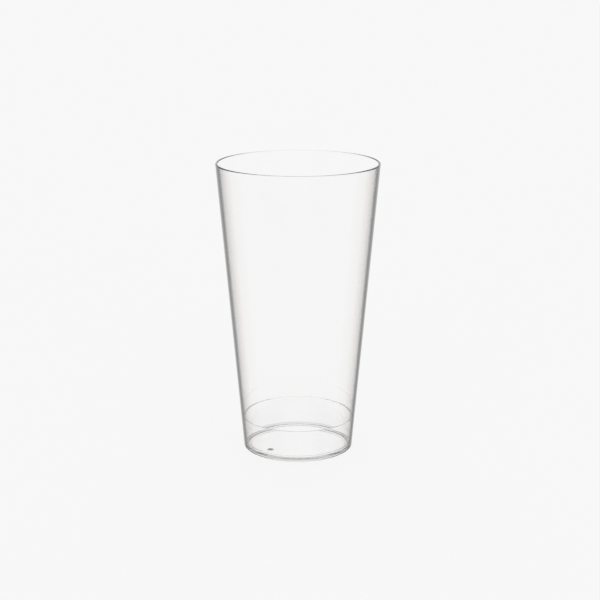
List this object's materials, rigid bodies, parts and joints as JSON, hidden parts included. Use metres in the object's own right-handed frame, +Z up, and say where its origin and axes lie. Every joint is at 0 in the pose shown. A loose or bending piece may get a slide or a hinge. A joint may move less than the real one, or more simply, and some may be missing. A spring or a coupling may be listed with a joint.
{
  "type": "tumbler",
  "caption": "Clear tapered shatterproof plastic drinking tumbler with a rounded rim, an inner stacking ledge low in the cup and a recessed foot ring.",
  "frame": {"origin": "centre of the foot, on the surface that the tumbler stands on", "axes": "+Z up along the tumbler's axis, out of its mouth; X and Y are level, and the mould mark under the floor lies towards -X -Y"},
  "size_m": [0.0878, 0.0878, 0.158],
  "materials": {
    "clear_plastic": "gloss, polished mould"
  },
  "bodies": {
    "root": {"tumbler": "clear_plastic"}
  },
  "joints": []
}
